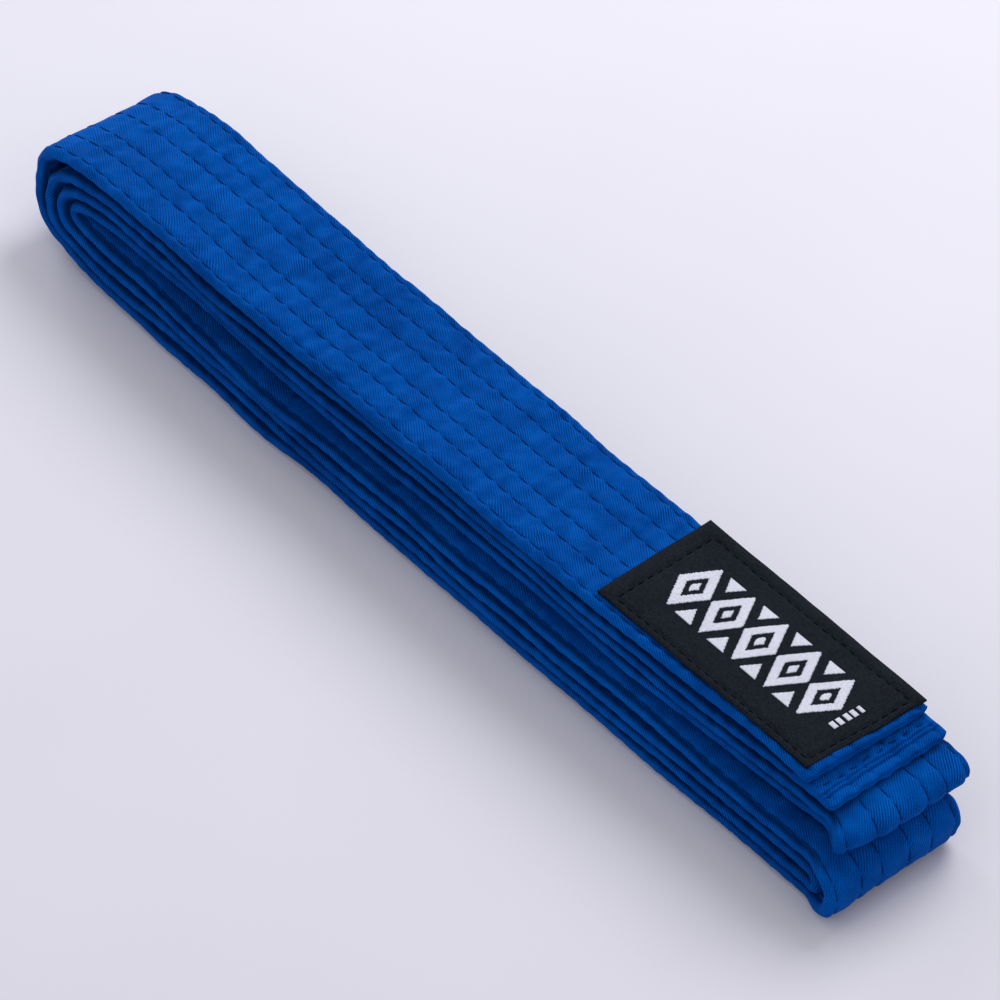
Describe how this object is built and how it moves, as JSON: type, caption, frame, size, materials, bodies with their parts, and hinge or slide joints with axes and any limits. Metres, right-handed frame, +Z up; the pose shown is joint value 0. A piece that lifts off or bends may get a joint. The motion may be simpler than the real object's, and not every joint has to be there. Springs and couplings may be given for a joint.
{
  "type": "folded martial arts belt",
  "caption": "Padded cotton martial arts belt folded flat into a layered bundle, with stitch rows, a plain hemmed end and a woven label end.",
  "frame": {"origin": "centre of the bundle's footprint, on the plane it lies on", "axes": "+X along the bundle from the far folds to the free ends, +Z up, label on top"},
  "size_m": [0.3222, 0.04, 0.0373],
  "materials": {
    "blue_cotton_twill": "matte royal blue cotton twill",
    "cotton_core": "unbleached cotton plies",
    "blue_thread": "blue polyester sewing thread",
    "black_woven_label": "fine black satin weave",
    "black_thread": "black polyester sewing thread",
    "white_woven_yarn": "cool white woven yarn"
  },
  "bodies": {
    "lower_half": {"Lower_Outer_Fold_Cover": "blue_cotton_twill", "Lower_Outer_Fold_Core": "cotton_core", "Lower_Outer_Fold_Stitching": "blue_thread", "Lower_Inner_Fold_Cover": "blue_cotton_twill", "Lower_Inner_Fold_Core": "cotton_core", "Lower_Inner_Fold_Stitching": "blue_thread"},
    "fold_spine": {"Far_Loop_1_Cover": "blue_cotton_twill", "Far_Loop_1_Core": "cotton_core", "Far_Loop_1_Stitching": "blue_thread", "Far_Loop_2_Cover": "blue_cotton_twill", "Far_Loop_2_Core": "cotton_core", "Far_Loop_2_Stitching": "blue_thread", "Far_Loop_3_Cover": "blue_cotton_twill", "Far_Loop_3_Core": "cotton_core", "Far_Loop_3_Stitching": "blue_thread", "Far_Loop_4_Cover": "blue_cotton_twill", "Far_Loop_4_Core": "cotton_core", "Far_Loop_4_Stitching": "blue_thread"},
    "upper_half": {"Upper_Fold_Cover": "blue_cotton_twill", "Upper_Fold_Core": "cotton_core", "Upper_Fold_Stitching": "blue_thread", "Plain_Layer_Cover": "blue_cotton_twill", "Plain_Layer_Core": "cotton_core", "Plain_Layer_Stitching": "blue_thread", "Label_Layer_Cover": "blue_cotton_twill", "Label_Layer_Core": "cotton_core", "Label_Layer_Stitching": "blue_thread"},
    "free_ends": {"Plain_End_Cover": "blue_cotton_twill", "Plain_End_Core": "cotton_core", "Plain_End_Stitching": "blue_thread", "Plain_End_Hem_Stitching": "blue_thread", "Label_Middle_Cover": "blue_cotton_twill", "Label_Middle_Core": "cotton_core", "Label_Middle_Stitching": "blue_thread"},
    "label_end": {"Label_End_Cover": "blue_cotton_twill", "Label_End_Core": "cotton_core", "Label_End_Stitching": "blue_thread", "Woven_Label": "black_woven_label", "Label_Border_Stitching": "black_thread", "Label_Motif": "white_woven_yarn", "Label_Size_Mark": "white_woven_yarn"}
  },
  "joints": [
    {"name": "fold_opening_lower", "type": "hinge", "parent": "lower_half", "child": "fold_spine", "pos_m": [-0.14946, 0, 0.01162], "axis": [0, 1, 0], "range_deg": [-90, 0], "deforming": ["Far_Loop_1_Cover", "Far_Loop_1_Core", "Far_Loop_1_Stitching", "Far_Loop_2_Cover", "Far_Loop_2_Core", "Far_Loop_2_Stitching", "Far_Loop_3_Cover", "Far_Loop_3_Core", "Far_Loop_3_Stitching", "Far_Loop_4_Cover", "Far_Loop_4_Core", "Far_Loop_4_Stitching"]},
    {"name": "fold_opening_upper", "type": "hinge", "parent": "fold_spine", "child": "upper_half", "pos_m": [-0.14946, 0, 0.02498], "axis": [0, 1, 0], "range_deg": [-90, 0]},
    {"name": "free_ends_lift", "type": "hinge", "parent": "upper_half", "child": "free_ends", "pos_m": [-0.01277, 0, 0.0376], "axis": [0, -1, 0], "range_deg": [0, 90]},
    {"name": "label_end_lift", "type": "hinge", "parent": "free_ends", "child": "label_end", "pos_m": [0.03522, 0, 0.0376], "axis": [0, -1, 0], "range_deg": [0, 90]}
  ],
  "couplings": [
    {"joint": "fold_opening_upper", "follows": "fold_opening_lower", "ratio": 1}
  ]
}
